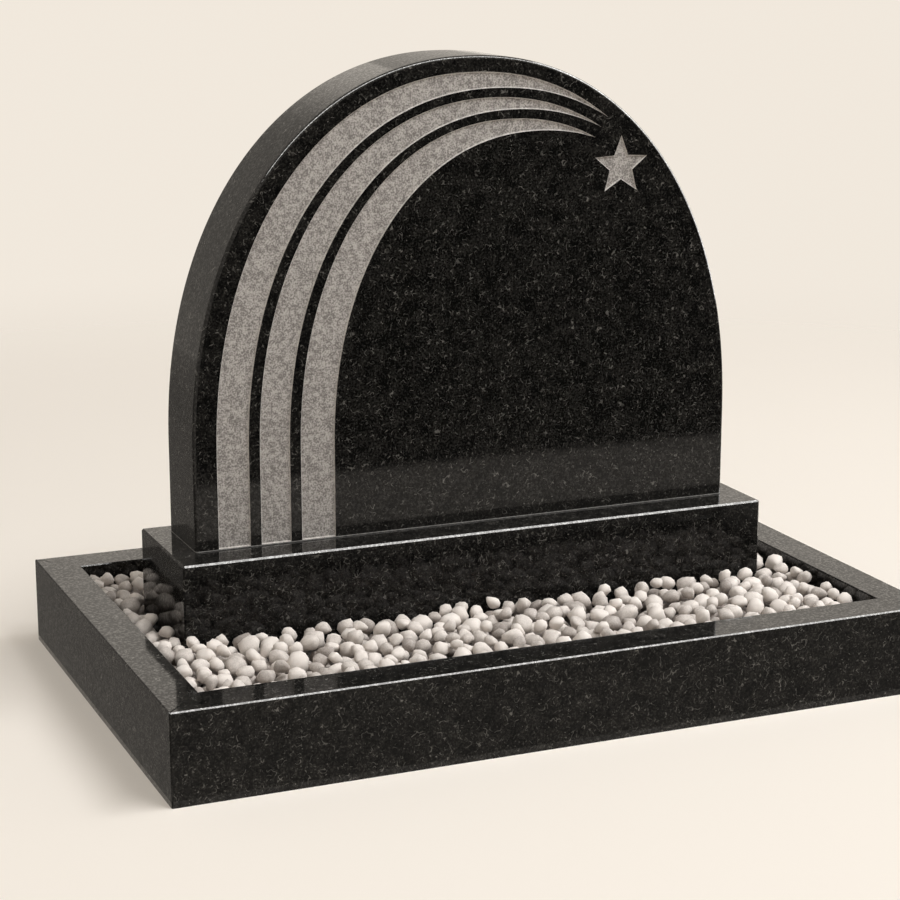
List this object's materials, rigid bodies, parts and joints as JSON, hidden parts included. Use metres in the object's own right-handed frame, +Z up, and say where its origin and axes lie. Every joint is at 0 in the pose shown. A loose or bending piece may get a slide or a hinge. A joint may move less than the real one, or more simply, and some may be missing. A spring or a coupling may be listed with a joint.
{
  "type": "headstone",
  "caption": "Arch-topped polished granite headstone with swept blasted bands and a star, on a base block inside a kerb frame filled with pebbles.",
  "frame": {"origin": "on the ground under the middle of the kerb frame", "axes": "+X to the right along the front, +Y from front to back, +Z up"},
  "size_m": [0.914, 0.592, 0.725],
  "materials": {
    "polished_granite": "polished",
    "pebble": "matt, water-worn"
  },
  "bodies": {
    "root": {"headstone": "polished_granite", "base": "polished_granite", "kerb_front": "polished_granite", "kerb_right": "polished_granite", "kerb_back": "polished_granite", "kerb_left": "polished_granite", "pebble_bed": "pebble"}
  },
  "joints": []
}
